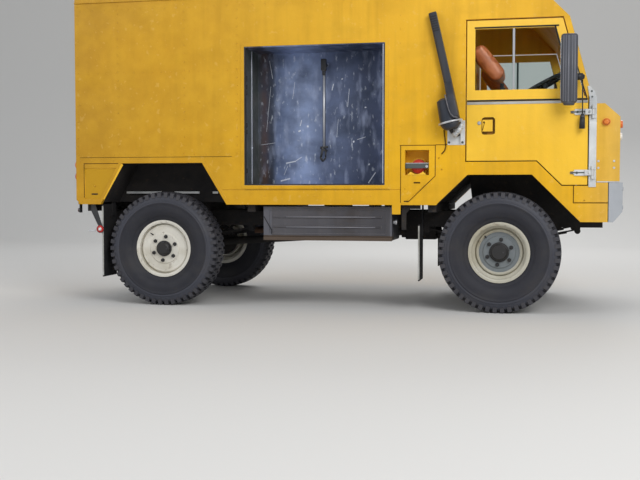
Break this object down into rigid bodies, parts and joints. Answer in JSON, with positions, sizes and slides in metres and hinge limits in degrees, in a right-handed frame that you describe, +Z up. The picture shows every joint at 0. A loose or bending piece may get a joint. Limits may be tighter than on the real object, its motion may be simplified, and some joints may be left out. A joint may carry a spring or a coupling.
{
  "type": "military ambulance truck",
  "caption": "Forward-control four-wheel-drive military ambulance, yellow box body, opening doors and turning wheels.",
  "frame": {"origin": "on the floor under the middle of the vehicle's box", "axes": "+X forward, +Y to the vehicle's left, +Z up"},
  "size_m": [4.161, 2.2119, 2.496],
  "materials": {
    "yellow": "semi-gloss, aged",
    "galvanised": "galvanised, dull",
    "aluminium": "scratched, bright",
    "chassis": "matt, dirty",
    "steel_rim": "semi-gloss, dirty",
    "rubber": "matt",
    "tyre": "matt",
    "glass": "clear",
    "lamp": "clear",
    "lamp_glass": "clear",
    "plastic": "matt",
    "leather": "worn",
    "red_cap": "gloss",
    "iron": "oily",
    "rust": "rusty"
  },
  "bodies": {
    "chassis": {"chassis_frame": "chassis", "leaf_springs": "chassis", "front_axle": "chassis", "rear_axle": "chassis", "drivetrain": "iron", "propshafts": "chassis", "exhaust": "rust", "side_tank": "aluminium", "tow_pintle": "rust", "body_side_right": "yellow", "body_side_left": "yellow", "body_roof": "yellow", "load_floor": "chassis", "bulkhead": "yellow", "rear_frame": "yellow", "spare_recess": "aluminium", "clamp_rod": "plastic", "filler_cap": "red_cap", "arch_panels": "yellow", "cab_floor": "chassis", "cab_front": "yellow", "grille": "plastic", "headlamps": "lamp_glass", "marker_lamps": "lamp", "windscreen_frame": "yellow", "fixed_glass": "glass", "front_bumper": "galvanised", "hinge_posts": "galvanised", "seats": "leather", "engine_cover": "plastic", "dashboard": "plastic", "intake_bracket": "galvanised", "steering_wheel": "plastic", "air_intake": "plastic", "mudflaps": "rubber", "roof_vents": "yellow"},
    "cab_door_right": {"cab_door_right": "yellow", "cab_glass_right": "glass", "mirror_right": "plastic"},
    "cab_door_left": {"cab_door_left": "yellow", "cab_glass_left": "glass", "mirror_left": "plastic"},
    "rear_door_right": {"rear_door_right": "yellow", "rear_glass_right": "glass"},
    "rear_door_left": {"rear_door_left": "yellow", "rear_glass_left": "glass"},
    "rear_step": {"rear_step": "chassis"},
    "knuckle_right": {"knuckle_right": "chassis"},
    "knuckle_left": {"knuckle_left": "chassis"},
    "track_rod": {"track_rod": "chassis"},
    "wheel_front_right": {"rim_front_right": "steel_rim", "tyre_front_right": "tyre"},
    "wheel_front_left": {"rim_front_left": "steel_rim", "tyre_front_left": "tyre"},
    "wheel_rear_right": {"rim_rear_right": "steel_rim", "tyre_rear_right": "tyre"},
    "wheel_rear_left": {"rim_rear_left": "steel_rim", "tyre_rear_left": "tyre"}
  },
  "joints": [
    {"name": "steer_right", "type": "hinge", "parent": "chassis", "child": "knuckle_right", "pos_m": [1.2375, -0.672, 0.44], "axis": [0, 0, 1], "range_deg": [-30, 30]},
    {"name": "steer_left", "type": "hinge", "parent": "chassis", "child": "knuckle_left", "pos_m": [1.2375, 0.672, 0.44], "axis": [0, 0, 1], "range_deg": [-30, 30]},
    {"name": "track_rod_pivot", "type": "hinge", "parent": "knuckle_right", "child": "track_rod", "pos_m": [1.0725, -0.672, 0.37], "axis": [0, 0, 1], "range_deg": [-30, 30]},
    {"name": "spin_front_right", "type": "hinge", "parent": "knuckle_right", "child": "wheel_front_right", "pos_m": [1.2375, -0.7745, 0.44], "axis": [0, 1, 0], "continuous": true},
    {"name": "spin_front_left", "type": "hinge", "parent": "knuckle_left", "child": "wheel_front_left", "pos_m": [1.2375, 0.7745, 0.44], "axis": [0, 1, 0], "continuous": true},
    {"name": "spin_rear_right", "type": "hinge", "parent": "chassis", "child": "wheel_rear_right", "pos_m": [-1.3275, -0.7745, 0.44], "axis": [0, 1, 0], "continuous": true},
    {"name": "spin_rear_left", "type": "hinge", "parent": "chassis", "child": "wheel_rear_left", "pos_m": [-1.3275, 0.7745, 0.44], "axis": [0, 1, 0], "continuous": true},
    {"name": "cab_door_right_hinge", "type": "hinge", "parent": "chassis", "child": "cab_door_right", "pos_m": [1.8755, -0.965, 1.2], "axis": [0, 0, 1], "range_deg": [0, 70]},
    {"name": "cab_door_left_hinge", "type": "hinge", "parent": "chassis", "child": "cab_door_left", "pos_m": [1.8755, 0.965, 1.2], "axis": [0, 0, -1], "range_deg": [0, 70]},
    {"name": "rear_door_right_hinge", "type": "hinge", "parent": "chassis", "child": "rear_door_right", "pos_m": [-2.0195, -0.772, 1.5], "axis": [0, 0, 1], "range_deg": [0, 110]},
    {"name": "rear_door_left_hinge", "type": "hinge", "parent": "chassis", "child": "rear_door_left", "pos_m": [-2.0195, 0.772, 1.5], "axis": [0, 0, -1], "range_deg": [0, 110]},
    {"name": "rear_step_hinge", "type": "hinge", "parent": "chassis", "child": "rear_step", "pos_m": [-1.9945, 0, 0.59], "axis": [0, 1, 0], "range_deg": [0, 90]}
  ],
  "couplings": [
    {"joint": "steer_left", "follows": "steer_right", "ratio": 1},
    {"joint": "track_rod_pivot", "follows": "steer_right", "ratio": -1}
  ]
}
